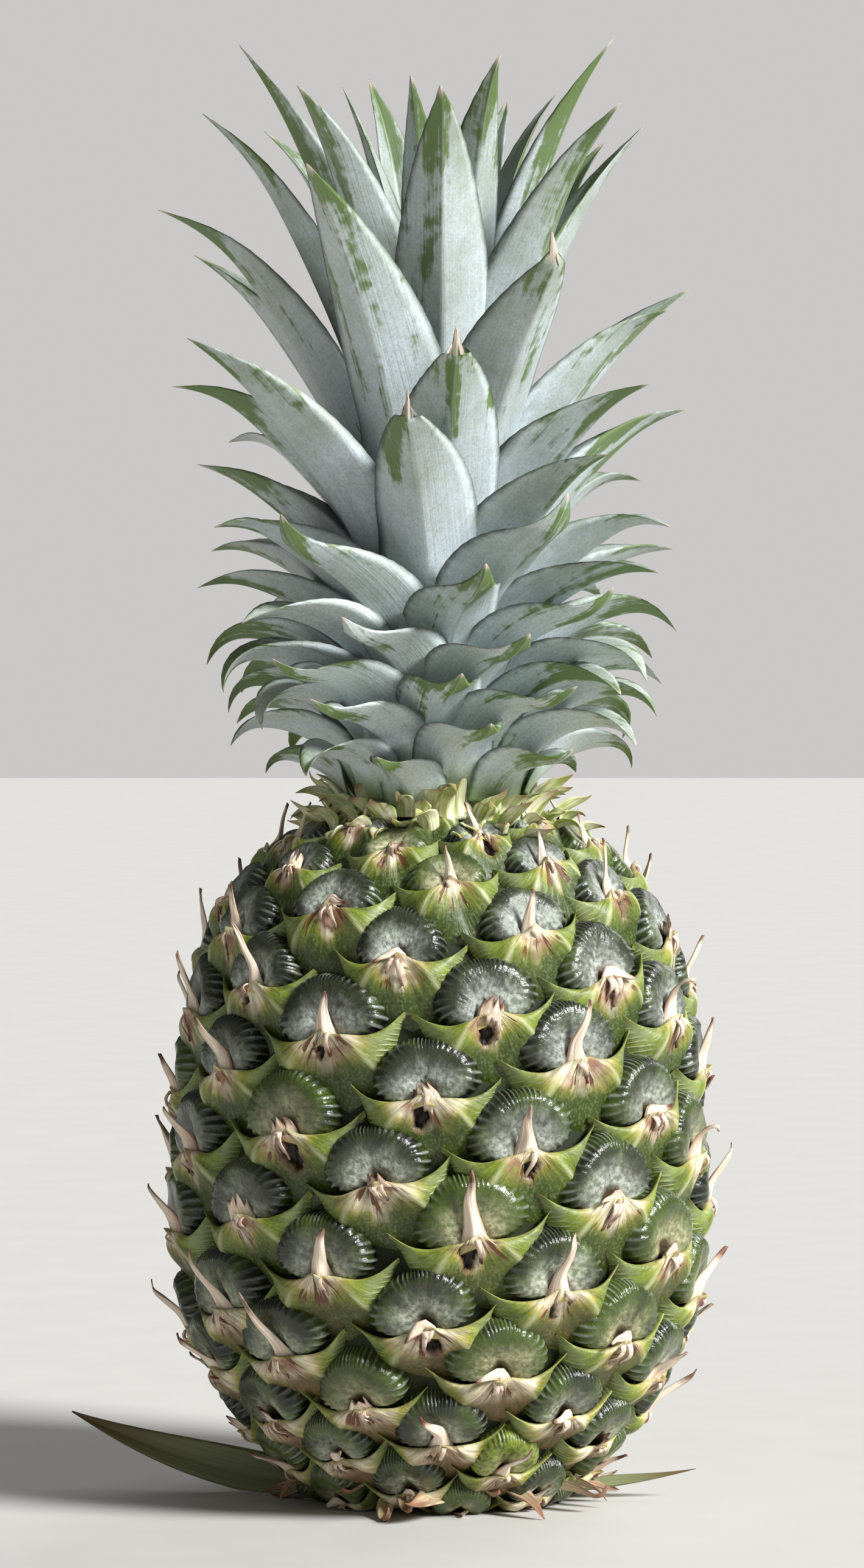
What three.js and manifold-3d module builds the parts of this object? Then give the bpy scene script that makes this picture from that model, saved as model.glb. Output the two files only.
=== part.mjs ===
// A whole ripe pineapple, standing on its cut end with its leafy crown up.
// Millimetres, +Z up. The origin is on the surface it stands on, under the middle of the fruit,
// and -Y is the front. The pieces are the fruit, which grew as one body from its many eyes with
// their bracts, the woody cut stalk let into its base, two dry leaves of that stalk, the crown's
// short stem with the small leaves grown on it, and each of the crown's large leaves.
import * as THREE from "three";
import { mergeVertices } from "three/addons/utils/BufferGeometryUtils.js";
import Module from "manifold-3d";

const wasm = await Module();
wasm.setup();

const GAP = 0.35; // clearance between pieces that touch
const SLIVER = 0.1; // facets thinner than this are merged where pieces were joined or cut
const GOLDEN_ANGLE = 137.508; // degrees from one eye, or one leaf, to the next

// ---- Fruit ----
// The barrel's outline as [radius, height], from the ring it stands on to the foot of the crown.
const OUTLINE = [
  [24, 0], [31, 3.6], [37.5, 11.2], [43, 18], [47.7, 25.3], [53.7, 37.4], [57.1, 49.3], [58.2, 62],
  [58.3, 75], [57.8, 87], [57, 99.5], [55.2, 112], [52.3, 123.5], [48.4, 133], [44, 139.8],
  [39.5, 145], [34, 149.6], [27, 153.6], [19, 156],
];
const WIDEST = 58.3; // the radius at which an eye has its full size
const EYE_PITCH = 1.478; // rise along the outline from one eye to the next, at the widest
const PITCH_POWER = 0.48; // how far the rise shrinks with the radius
const FIRST_EYE_TURN = 198.8; // where the lowest eye stands, degrees round from the front
const FIRST_EYE_STEP = 0.87; // and how far up the spiral, in steps
const EYE_STRIDE = [8, 13]; // the two spirals along which neighbouring eyes touch
const CELLS = 5; // the surface has this many squares a side for each eye

// The points of one eye stand out of the barrel in rings round its hub, in millimetres at full
// size: the inner ring is its cushion, and the outer one falls from the dome's edge above the hub
// to the groove below the bract, lowest at the four corners.
const CUSHION = { crest: 3.4, dome: 0.3, rim: -0.2, fall: 0.9, corner: 1.7, groove: -1.9 };
const BARB = { out: 2.5, up: 8.5 }; // the dry tip of a bract
const TOP_CLEAR = { from: 36, to: 24 }; // radii over which the barbs shorten under the crown
const BASE_CLEAR = { from: 3, to: 12 }; // heights over which they grow above the base

const STALK = { radius: 11, shoulder: 4.5, height: 2.8, crest: 4.3 };
const SOCKET_HEIGHT = 6; // the hollow in the fruit's base that the stalk grows out of

// ---- Crown ----
const CROWN_FOOT = 157; // height of the foot of the crown
const LEAVES = 94;
const LEAVES_ON_STEM = 42; // the lowest leaves, grown on the stem's own node
const FIRST_LEAF_TURN = -13.3; // where the lowest leaf stands, degrees round from the front
const STEM = { footRadius: 19, waist: 14, waistHeight: 20, topRadius: 5, top: 90 };
const ROOT = { first: 1.2, rise: 0.3, quicken: 0.0069 }; // how high up the stem a leaf is rooted

// Leaves change evenly from the lowest to the innermost. Each row is a place up the crown, from
// 0 to 1, then the leaf's length, width, mean lean from upright and recurve, in mm and degrees.
const LEAF_STAGES = [
  [0, 22, 16, 66, 60],
  [0.05, 28, 17, 68, 74],
  [0.09, 35, 19, 68, 86],
  [0.22, 41, 20, 67, 86],
  [0.36, 46, 21, 66, 80],
  [0.45, 49, 22, 62, 66],
  [0.56, 53, 24, 51, 34],
  [0.62, 58, 25, 45, 26],
  [0.7, 69, 26, 42, 24],
  [0.765, 90, 26, 33, 22],
  [0.82, 108, 25, 23, 18],
  [0.85, 98, 22, 25, 18],
  [0.9, 96, 19, 20, 16],
  [0.95, 88, 16, 14, 14],
  [1, 72, 12, 8, 12],
];
// Some grew otherwise than their neighbours: degrees turned, factor of length, degrees of lean.
const UNLIKE = {
  55: [0, 1.28, -5],
  60: [-14, 1.3, -3],
  63: [-10, 1.18, -4],
  66: [0, 0.88, 2],
  68: [0, 1.34, -6],
  71: [0, 0.92, 3],
  73: [-30, 0.95, 0],
  74: [0, 0.7, 6],
  76: [7, 1, 0],
  86: [0, 1.12, 3],
  87: [0, 1.1, 3],
};
const CHANNEL = { low: 0.62, high: 0.85 }; // half the angle a blade curls across, in radians
const KEEL = 0.18; // how sharply it folds at its middle
const CLASP = { low: 0.95, high: 0.7 }; // the root's width as a share of the blade's
const LEAF_THICK = { root: 1.5, tip: 0.7 };
const SUNK = 1.7; // how far a small leaf's root is set into the stem
const RINGS = { small: 4, large: 5 }; // cross-sections along a small leaf and a large one
const NEIGHBOURS = 21; // how many leaves further in a leaf may lie against
const WAYWARD = { turn: 4, lean: 3, length: 0.05, side: 3 }; // the leaves' small differences

// Two dry leaves of the stalk lie out from under the base, in mm and degrees like the others.
const STALK_LEAVES = {
  stalk_leaf_left: { turn: -104, length: 79, width: 9, lean: 78, recurve: -24 },
  stalk_leaf_right: { turn: 86, length: 48, width: 6, lean: 82, recurve: -16 },
};

const radians = (degrees) => (degrees * Math.PI) / 180;
const mix = (a, b, t) => a + (b - a) * t;
const clamp01 = (t) => Math.min(1, Math.max(0, t));

// A number from -1 to 1 that is always the same for the same two whole numbers.
function scatter(which, what) {
  const wave = Math.sin(which * 12.9898 + what * 78.233) * 43758.5453;
  return 2 * (wave - Math.floor(wave)) - 1;
}

// The values that a table gives at a place between its rows.
function between(table, place) {
  let i = 1;
  while (i < table.length - 1 && table[i][0] < place) i += 1;
  const [low, high] = [table[i - 1], table[i]];
  const t = clamp01((place - low[0]) / (high[0] - low[0]));
  return low.slice(1).map((value, k) => mix(value, high[k + 1], t));
}

// A point at a turn round the axis, where 0 is the front and 90 is +X.
const around = (turn, radius, height) =>
  new THREE.Vector3(radius * Math.sin(turn), -radius * Math.cos(turn), height);

// ---- Solids ----
function solidOf(points, triangles) {
  return new wasm.Manifold(
    new wasm.Mesh({
      numProp: 3,
      vertProperties: new Float32Array(points.flatMap((p) => [p.x, p.y, p.z])),
      triVerts: new Uint32Array(triangles.flat()),
    }),
  );
}

function solidFrom(geometry) {
  const bare = geometry.clone();
  bare.deleteAttribute("normal");
  bare.deleteAttribute("uv");
  const merged = mergeVertices(bare, 1e-4);
  return new wasm.Manifold(
    new wasm.Mesh({
      numProp: 3,
      vertProperties: new Float32Array(merged.attributes.position.array),
      triVerts: new Uint32Array(merged.index.array),
    }),
  );
}

function geometryOf(solid) {
  const mesh = solid.getMesh();
  const positions = new Float32Array(mesh.numVert * 3);
  for (let i = 0; i < mesh.numVert; i += 1) {
    positions.set(mesh.vertProperties.subarray(i * mesh.numProp, i * mesh.numProp + 3), i * 3);
  }
  const geometry = new THREE.BufferGeometry();
  geometry.setAttribute("position", new THREE.BufferAttribute(positions, 3));
  geometry.setIndex(new THREE.BufferAttribute(mesh.triVerts, 1));
  geometry.computeVertexNormals();
  return geometry;
}

const largestBody = (solid) =>
  solid.decompose().sort((a, b) => b.volume() - a.volume())[0];

// ---- The fruit's surface ----
// The outline as a smooth run of stations, each with its radius, its height and the number of
// spiral steps up to it from the base.
function outlineStations() {
  const curve = new THREE.SplineCurve(OUTLINE.map(([r, z]) => new THREE.Vector2(r, z)));
  const stations = [];
  for (const point of curve.getPoints(40 * (OUTLINE.length - 1))) {
    const last = stations.at(-1);
    const length = last ? Math.hypot(point.x - last.radius, point.y - last.height) : 0;
    const pitch = EYE_PITCH * ((last ? (point.x + last.radius) / 2 : point.x) / WIDEST) ** PITCH_POWER;
    stations.push({
      radius: point.x,
      height: point.y,
      steps: (last?.steps ?? 0) + length / pitch,
    });
  }
  return stations;
}

const stations = outlineStations();
const STEPS = stations.at(-1).steps;

// The place on the smooth barrel a number of steps up the spiral.
function stationAt(steps) {
  let low = 0;
  let high = stations.length - 1;
  while (high - low > 1) {
    const middle = (low + high) >> 1;
    if (stations[middle].steps > steps) high = middle;
    else low = middle;
  }
  const [a, b] = [stations[low], stations[high]];
  const t = (steps - a.steps) / (b.steps - a.steps);
  const slope = Math.atan2(b.height - a.height, b.radius - a.radius);
  const radius = mix(a.radius, b.radius, t);
  return {
    radius,
    height: mix(a.height, b.height, t),
    size: Math.sqrt((radius / WIDEST) ** (1 + PITCH_POWER)),
    outR: Math.sin(slope),
    outZ: -Math.cos(slope),
  };
}

// How far a point of an eye, so many squares along the two spirals from its hub, stands out.
function eyeRelief(along, across) {
  const ring = Math.max(Math.abs(along), Math.abs(across));
  const up = (along + across) / 2;
  if (ring < 2) return CUSHION.crest + CUSHION.dome * up;
  const corner = Math.abs(along) === Math.abs(across) ? CUSHION.corner : 0;
  return Math.max(CUSHION.groove, CUSHION.rim + CUSHION.fall * up - corner);
}

// The barrel is a net of squares laid along the eyes' two spirals, so that every eye has the same
// points: its hub, drawn out into the bract's dry tip, its dome and the groove round it.
function fruitSolid() {
  const [shallow, steep] = EYE_STRIDE;
  const turnOf = (stride) => {
    const turn = -GOLDEN_ANGLE * stride;
    return radians(turn - 360 * Math.round(turn / 360));
  };
  const [shallowTurn, steepTurn] = [turnOf(shallow), turnOf(steep)];
  const points = [];
  const seen = new Map();
  const stepsAt = (i, j) => (shallow * i + steep * j) / CELLS + FIRST_EYE_STEP;

  function vertex(i, j) {
    const rounds = Math.floor(j / (shallow * CELLS));
    const [a, b] = [i + rounds * steep * CELLS, j - rounds * shallow * CELLS];
    const key = `${a},${b}`;
    if (!seen.has(key)) {
      seen.set(key, points.length);
      points.push(fruitPoint(a, b));
    }
    return seen.get(key);
  }

  const fromHub = (k) => k - CELLS * Math.round(k / CELLS);

  function fruitPoint(i, j) {
    const place = stationAt(stepsAt(i, j));
    const turn = radians(FIRST_EYE_TURN) + (i * shallowTurn + j * steepTurn) / CELLS;
    const [along, across] = [fromHub(i), fromHub(j)];
    const out = place.size * eyeRelief(along, across) * clamp01((place.radius - STEM.footRadius) / 5);
    let [radius, height] = [place.radius + out * place.outR, place.height + out * place.outZ];
    if (along === 0 && across === 0) {
      const room =
        clamp01((place.radius - TOP_CLEAR.to) / (TOP_CLEAR.from - TOP_CLEAR.to)) *
        clamp01((place.height - BASE_CLEAR.from) / (BASE_CLEAR.to - BASE_CLEAR.from));
      radius += room * (BARB.out * place.outR - BARB.up * place.outZ);
      height += room * (BARB.up * place.outR + BARB.out * place.outZ);
    }
    return around(turn, radius, Math.max(0, height));
  }

  const triangles = [];
  const inside = (i, j) => stepsAt(i, j) >= 0 && stepsAt(i, j) <= STEPS;
  for (let j = 0; j < shallow * CELLS; j += 1) {
    const first = Math.floor((-steep * j) / shallow) - CELLS;
    for (let i = first; stepsAt(i, j) <= STEPS; i += 1) {
      const corners = [[i, j], [i, j + 1], [i + 1, j + 1], [i + 1, j]];
      if (!corners.every(([a, b]) => inside(a, b))) continue;
      const [p, q, r, s] = corners.map(([a, b]) => vertex(a, b));
      triangles.push([p, q, r], [p, r, s]);
    }
  }
  closeEnds(points, triangles);
  return solidOf(points, triangles);
}

// Fans each open end of the net in to a point on the axis.
function closeEnds(points, triangles) {
  const edges = new Set();
  for (const [a, b, c] of triangles) [[a, b], [b, c], [c, a]].forEach(([u, v]) => edges.add(`${u},${v}`));
  const open = [...edges]
    .map((edge) => edge.split(",").map(Number))
    .filter(([u, v]) => !edges.has(`${v},${u}`));
  const middle = CROWN_FOOT / 2;
  const [base, top] = [points.length, points.length + 1];
  points.push(new THREE.Vector3(0, 0, SOCKET_HEIGHT), new THREE.Vector3(0, 0, CROWN_FOOT));
  for (const [u, v] of open) triangles.push([v, u, points[u].z < middle ? base : top]);
}

// ---- Leaves ----
const stemRadius = (height) =>
  height < STEM.waistHeight
    ? mix(STEM.footRadius, STEM.waist, clamp01(height / STEM.waistHeight))
    : mix(STEM.waist, STEM.topRadius, (height - STEM.waistHeight) / (STEM.top - STEM.waistHeight));

function leafForm(index) {
  const place = index / (LEAVES - 1);
  const [length, width, lean, recurve] = between(LEAF_STAGES, place);
  const rise = ROOT.first + ROOT.rise * index + ROOT.quicken * index * index;
  const [unlikeTurn, unlikeLength, unlikeLean] = UNLIKE[index] ?? [0, 1, 0];
  const turn = FIRST_LEAF_TURN + GOLDEN_ANGLE * index + unlikeTurn;
  return {
    turn: radians(turn + WAYWARD.turn * scatter(index, 1)),
    radius: stemRadius(rise) + GAP + LEAF_THICK.root,
    height: CROWN_FOOT + rise,
    length: length * unlikeLength * (1 + WAYWARD.length * scatter(index, 2)),
    width,
    clasp: mix(CLASP.low, CLASP.high, place),
    channel: mix(CHANNEL.low, CHANNEL.high, place),
    lean: radians(lean + unlikeLean + WAYWARD.lean * scatter(index, 3)),
    recurve: radians(recurve),
    side: radians(WAYWARD.side * scatter(index, 4)),
  };
}

function stalkLeafForm({ turn, length, width, lean, recurve }) {
  return {
    turn: radians(turn),
    radius: STALK.radius + GAP,
    height: 0,
    length,
    width,
    clasp: CLASP.high,
    channel: CHANNEL.low,
    lean: radians(lean),
    recurve: radians(recurve),
    side: 0,
  };
}

// The share of its full width that a blade has at a place along it, from 0 at the root to 1.
function bladeWidth(t, clasp) {
  const fromTip = Math.min(1, (1 - t) / 0.6);
  return mix(clasp, 1, clamp01(t / 0.25)) * (1 - (1 - fromTip) ** 2) ** 0.75;
}

// A blade as a closed solid: cross-sections set along its middle line, each with outer points
// from edge to edge and inner points between them, drawn to a point at the tip.
function leafSolid(form, { rings, across, sunk = 0, grow = 0 }) {
  const points = [];
  const triangles = [];
  const radial = around(form.turn, 1, 0);
  const sideways = around(form.turn + Math.PI / 2, 1, 0);
  let [radius, height, drift] = [form.radius - sunk, form.height, 0];
  const fine = 8;
  const outer = Array.from({ length: across + 1 }, (_, k) => -1 + (2 * k) / across);
  const inner = (grow ? outer : outer.slice(1, -1)).toReversed();
  const ringSize = outer.length + inner.length;

  for (let ring = 0; ring < rings; ring += 1) {
    const t = ring / rings;
    const lean = form.lean + form.recurve * (t - 0.5);
    const halfWidth = (form.width * bladeWidth(t, form.clasp)) / 2 + grow;
    const concentric = (halfWidth * Math.max(0, Math.cos(lean))) / Math.max(radius, 6);
    const curl = Math.max(concentric, form.channel * clamp01(t / 0.3));
    const keel = KEEL * halfWidth * clamp01(t / 0.3);
    const thick = mix(LEAF_THICK.root, LEAF_THICK.tip, t);
    const away = new THREE.Vector3().addScaledVector(radial, Math.cos(lean));
    away.z = -Math.sin(lean);
    const middle = new THREE.Vector3().addScaledVector(radial, radius).addScaledVector(sideways, drift);
    middle.z = height;
    middle.addScaledVector(away, grow);
    const along = new THREE.Vector3().addScaledVector(radial, Math.sin(lean)).setZ(Math.cos(lean));
    if (ring === 0) middle.addScaledVector(along, -grow);
    const place = (u, depth) => {
      const sweep = (halfWidth * Math.sin(u * curl)) / curl;
      const lift = (halfWidth * (1 - Math.cos(u * curl))) / curl + keel * Math.abs(u);
      return middle.clone().addScaledVector(sideways, sweep).addScaledVector(away, -lift - depth);
    };
    outer.forEach((u) => points.push(place(u, 0)));
    inner.forEach((u) => points.push(place(u, thick * Math.sqrt(1 - u * u) + 2 * grow)));
    for (let step = 0; step < fine; step += 1) {
      const here = form.lean + form.recurve * ((ring + (step + 0.5) / fine) / rings - 0.5);
      const stride = form.length / rings / fine;
      radius += stride * Math.sin(here);
      height += stride * Math.cos(here);
      drift += stride * Math.sin(form.side) * (ring / rings);
    }
  }
  const end = form.lean + form.recurve / 2;
  const tip = points.length;
  points.push(
    new THREE.Vector3()
      .addScaledVector(radial, radius + 3 * grow * Math.sin(end))
      .addScaledVector(sideways, drift)
      .setZ(height + 3 * grow * Math.cos(end)),
  );
  for (let ring = 0; ring < rings; ring += 1) {
    for (let k = 0; k < ringSize; k += 1) {
      const [a, b] = [ring * ringSize + k, ring * ringSize + ((k + 1) % ringSize)];
      if (ring === rings - 1) triangles.push([a, b, tip]);
      else if (k < across) triangles.push([a, b, b + ringSize], [a, b + ringSize, a + ringSize]);
      else triangles.push([a, b, a + ringSize], [b, b + ringSize, a + ringSize]);
    }
  }
  const blunt = inner.length === outer.length;
  const within = (k) => (blunt ? ringSize - 1 - k : k % across ? ringSize - k : k);
  for (let k = 0; k < across; k += 1) {
    if (within(k) !== k) triangles.push([k, within(k), within(k + 1)]);
    if (within(k + 1) !== k + 1) triangles.push([k + 1, k, within(k + 1)]);
  }
  return solidOf(points, triangles);
}

function crownStemSolid() {
  const foot = CROWN_FOOT + GAP + 0.3;
  const profile = [
    [0, 0],
    [STEM.footRadius, 0],
    [STEM.waist, STEM.waistHeight],
    [STEM.topRadius, STEM.top],
    [0, STEM.top + 3],
  ].map(([r, z]) => new THREE.Vector2(r, z));
  const stem = solidFrom(new THREE.LatheGeometry(profile, 16).rotateX(Math.PI / 2).translate(0, 0, foot));
  const small = Array.from({ length: LEAVES_ON_STEM }, (_, index) =>
    leafSolid(leafForm(index), { rings: RINGS.small, across: 2, sunk: SUNK }),
  );
  return wasm.Manifold.union([stem, ...small]).asOriginal().simplify(SLIVER);
}

function stalkSolid() {
  const profile = [
    [0, 0],
    [STALK.radius, 0],
    [STALK.radius, STALK.height],
    [STALK.shoulder, STALK.crest],
    [0, STALK.crest],
  ].map(([r, z]) => new THREE.Vector2(r, z));
  return solidFrom(new THREE.LatheGeometry(profile, 20).rotateX(Math.PI / 2));
}

// ---- The whole ----
const finish = {
  fruit: { color: "#46602c", roughness: 0.45, metalness: 0 },
  stalk: { color: "#a98f63", roughness: 0.9, metalness: 0 },
  dryLeaf: { color: "#5d6b3a", roughness: 0.7, metalness: 0 },
  leaf: { color: "#7d8f8c", roughness: 0.6, metalness: 0 },
};

const pineapple = new THREE.Group();
function add(name, solid, look) {
  const mesh = new THREE.Mesh(geometryOf(solid), new THREE.MeshStandardMaterial(look));
  mesh.name = name;
  pineapple.add(mesh);
}

// Cuts back a leaf, or the stem, where it would cross leaves that lie against it.
function clearOf(solid, others) {
  const crossed = others.filter((other) => solid.intersect(other).volume() > 1e-4);
  if (!crossed.length) return solid;
  const cut = largestBody(solid.subtract(wasm.Manifold.union(crossed)));
  return largestBody(cut.asOriginal().simplify(SLIVER));
}

// From the innermost leaf outward, each gives way to the ones already there.
const large = { rings: RINGS.large, across: 4 };
const leaves = [];
for (let index = LEAVES - 1; index >= LEAVES_ON_STEM; index -= 1) {
  const inner = leaves.slice(0, NEIGHBOURS).map((leaf) => leaf.grown);
  const form = leafForm(index);
  leaves.unshift({
    name: `crown_leaf_${index}`,
    solid: clearOf(leafSolid(form, large), inner),
    grown: leafSolid(form, { ...large, grow: GAP }),
  });
}

const stalkLeaves = Object.entries(STALK_LEAVES).map(([name, shape]) => ({
  name,
  solid: leafSolid(stalkLeafForm(shape), { rings: RINGS.small, across: 4 }),
  grown: leafSolid(stalkLeafForm(shape), { rings: RINGS.small, across: 4, grow: GAP }),
}));
const fruit = clearOf(fruitSolid(), stalkLeaves.map((leaf) => leaf.grown));
const shoulder = fruit.translate(0, 0, GAP);

add("fruit", fruit, finish.fruit);
add("cut_stalk", stalkSolid(), finish.stalk);
for (const { name, solid } of stalkLeaves) add(name, solid, finish.dryLeaf);
add("crown_stem", clearOf(crownStemSolid(), [shoulder, ...leaves.map((leaf) => leaf.grown)]), finish.leaf);
for (const { name, solid } of leaves) add(name, solid, finish.leaf);

export default pineapple;
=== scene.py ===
"""A whole ripe pineapple standing on its cut end: its rind of eyes, its dry stalk leaves and its crown."""
import math

import bmesh
import bpy
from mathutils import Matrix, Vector


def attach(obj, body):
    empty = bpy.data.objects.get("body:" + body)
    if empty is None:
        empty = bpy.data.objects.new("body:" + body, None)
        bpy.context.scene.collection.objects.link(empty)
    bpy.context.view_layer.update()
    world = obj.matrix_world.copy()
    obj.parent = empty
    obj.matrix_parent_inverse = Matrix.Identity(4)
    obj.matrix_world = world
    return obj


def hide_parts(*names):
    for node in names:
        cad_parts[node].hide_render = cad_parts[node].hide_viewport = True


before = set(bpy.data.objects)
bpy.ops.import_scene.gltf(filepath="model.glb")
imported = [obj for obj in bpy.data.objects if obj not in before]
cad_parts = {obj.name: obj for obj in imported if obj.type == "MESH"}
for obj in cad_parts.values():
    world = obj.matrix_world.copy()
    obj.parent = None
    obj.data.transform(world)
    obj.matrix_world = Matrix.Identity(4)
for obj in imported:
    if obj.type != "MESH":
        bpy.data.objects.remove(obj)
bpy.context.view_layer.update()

# ---- The rind in the grooves ----
# The fruit is one fleshy body grown together from many small ones, the eyes. What shows between
# them is the sunken, waxy green skin where they meet. It is dark because little light gets in, and
# it is also painted near-black as shade in the grooves.
MM = 0.001
OUTLINE = [
    (24, 0), (31, 3.6), (37.5, 11.2), (43, 18), (47.7, 25.3), (53.7, 37.4), (57.1, 49.3), (58.2, 62),
    (58.3, 75), (57.8, 87), (57, 99.5), (55.2, 112), (52.3, 123.5), (48.4, 133), (44, 139.8),
    (39.5, 145), (34, 149.6), (27, 153.6), (19, 156),
]  # the barrel's radius and height, from the ring it stands on to the foot of the crown
SPAN_CUTS, STEP_CUTS = 40, 10  # pieces in each span of the outline, and stations in each step up it
WIDEST = 58.3  # the radius at which an eye has its full size
EYE_PITCH = 1.478  # rise along the outline from one eye to the next, at the widest
PITCH_POWER = 0.48  # how far that rise shrinks with the radius
GROOVE = -1.7  # how far the skin between the eyes lies inside the barrel
LOWEST = 0.2  # how near the ground any of the rind comes
SEAM = 1e-6  # metres within which two points are one


def mix(a, b, t):
    return a + (b - a) * t


def bend_through(points, per_span):
    """A smooth curve through points, each span of it in per_span short pieces."""
    last = len(points) - 1
    curve = []
    for i in range(last):
        a, b, c, d = (Vector(points[min(last, max(0, i + k))]) for k in (-1, 0, 1, 2))
        start, end = (c - a) / 2, (d - b) / 2
        for step in range(per_span):
            t = step / per_span
            bend = (2 * (b - c) + start + end) * t**3 + (3 * (c - b) - 2 * start - end) * t**2
            curve.append(bend + start * t + b)
    return curve + [Vector(points[last])]


def barrel_stations():
    """The outline cut at even steps up the spiral of eyes: a point, and the way out from it."""
    steps, fine = 0.0, []
    curve = bend_through(OUTLINE, SPAN_CUTS)
    for here, ahead in zip(curve, curve[1:]):
        along = ahead - here
        fine.append((steps, here, along.normalized()))
        steps += along.length / (EYE_PITCH * ((here.x + ahead.x) / 2 / WIDEST) ** PITCH_POWER)
    stations, i = [], 0
    for cut in range(int(steps * STEP_CUTS) + 1):
        while i < len(fine) - 2 and fine[i + 1][0] < cut / STEP_CUTS:
            i += 1
        (low, a, along), (high, b, _) = fine[i], fine[i + 1]
        spot = a.lerp(b, (cut / STEP_CUTS - low) / (high - low))
        size = (spot.x / WIDEST) ** ((1 + PITCH_POWER) / 2)
        stations.append((spot.x, spot.y, along.y * size, -along.x * size))
    return stations


STATIONS = barrel_stations()


def on_barrel(turn, steps, out):
    """A point of the fruit, in metres: turned from the front, so many steps up and out mm proud."""
    cut = min(len(STATIONS) - 1.001, max(0.0, steps * STEP_CUTS))
    ends = STATIONS[int(cut)], STATIONS[int(cut) + 1]
    radius, height, out_r, out_z = (mix(a, b, cut % 1) for a, b in zip(*ends))
    radius += out * out_r
    height = max(LOWEST, height + out * out_z)
    return Vector((radius * math.sin(turn), -radius * math.cos(turn), height)) * MM


def linear(colour):
    """The linear colour of an sRGB hex value."""
    parts = [int(colour[i : i + 2], 16) / 255 for i in (1, 3, 5)]
    return [p / 12.92 if p <= 0.04045 else ((p + 0.055) / 1.055) ** 2.4 for p in parts] + [1.0]


def new_material(name):
    material = bpy.data.materials.new(name)
    material.use_nodes = True
    return material, material.node_tree, material.node_tree.nodes["Principled BSDF"]


def feed(tree, node, inputs):
    """Sets inputs, by name or in order, to a value, a hex colour, a socket, or a node's first output."""
    for name, value in inputs.items() if isinstance(inputs, dict) else enumerate(inputs):
        socket = next((s for s in node.inputs if s.enabled and s.name == name), None) or node.inputs[name]
        if isinstance(value, bpy.types.Node):
            value = next(s for s in value.outputs if s.enabled)
        if isinstance(value, bpy.types.NodeSocket):
            tree.links.new(value, socket)
        else:
            socket.default_value = linear(value) if isinstance(value, str) else value


def add(tree, kind, inputs=(), operation=None, **settings):
    """Adds a node with its settings and links. A Mix always mixes colours here."""
    node = tree.nodes.new("ShaderNode" + kind)
    if kind == "Mix":
        node.data_type = "RGBA"
    if operation:
        node.operation = operation
    for name, value in settings.items():
        setattr(node, name, value)
    feed(tree, node, inputs)
    return node


def sheet(bm, columns, rows, shape):
    """A grid whose point at (u, v), each from 0 to 1, goes where shape says, with what it says there."""
    grid = bmesh.ops.create_grid(bm, x_segments=columns, y_segments=rows, size=0.5)
    for vert in grid["verts"]:
        place, told = shape(vert.co.x + 0.5, vert.co.y + 0.5)
        vert.co = place
        for name, value in told.items():
            vert[bm.verts.layers.float_vector[name]] = value


def close_up(bm):
    """Joins the seams, closes what is still open and turns the faces outward."""
    bmesh.ops.remove_doubles(bm, verts=bm.verts, dist=SEAM)
    bmesh.ops.holes_fill(bm, edges=[e for e in bm.edges if e.is_boundary], sides=0)
    bmesh.ops.recalc_face_normals(bm, faces=bm.faces)


def make_object(name, bm, material):
    """Makes a smooth object of a finished bmesh, its place in its mesh."""
    mesh = bpy.data.meshes.new(name)
    bm.to_mesh(mesh)
    bm.free()
    mesh.shade_smooth()
    mesh.materials.append(material)
    made = bpy.data.objects.new(name, mesh)
    bpy.context.scene.collection.objects.link(made)
    return made


def finish_piece(name, bm, material, slot, *nodes):
    """Makes a piece of the fruit, which rides on its one body and stands for those nodes."""
    piece = make_object(name, bm, material)
    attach(piece, "root")
    if nodes:
        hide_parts(*nodes)
    return piece


# Living skin: dark green and dull with dust and wax, in a mottle some 4 mm across. Its colour is
# partly its own dark green and partly painted shade, near-black, so the grooves stay in the background.
groove_skin, tree, shader = new_material("waxy pineapple skin")
ground = add(tree, "TexCoord").outputs["Object"]
mottle = add(tree, "TexNoise", {"Vector": ground, "Scale": 260.0, "Detail": 5.0})
skin_and_shade_tone = add(tree, "Mix", {"Factor": mottle, "A": "#12170a", "B": "#2b380e"})
feed(tree, shader, {"Base Color": skin_and_shade_tone, "Roughness": 0.8})


def groove(u, v):
    return on_barrel(2 * math.pi * (u - 0.5), v * (len(STATIONS) - 1) / STEP_CUTS, GROOVE), {}


TURNS, RISES = 128, 72
bm = bmesh.new()
sheet(bm, TURNS, RISES, groove)
close_up(bm)
finish_piece("groove_skin", bm, groove_skin, "fruit", "fruit")

# ---- The eyes' cushions ----
# Each eye ripened from one flower: a fleshy cushion of smooth, hard rind, dimpled at its hub,
# pulled into close puckers round its steep rim, and dulled by a pale wax bloom round the hub.
GOLDEN_ANGLE = 137.508  # degrees from one eye, or one leaf, to the next
EYES = 142
FIRST_EYE = {"turn": 198.8, "steps": 0.87}  # the lowest eye's place round the fruit and up it
EYE_LEAN = 7.0  # degrees that the eyes lean to the left, along their spiral
STRAY = {"lean": 5, "size": 0.06, "aside": 1.2, "up": 0.9}  # how far one eye strays from the next
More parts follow.
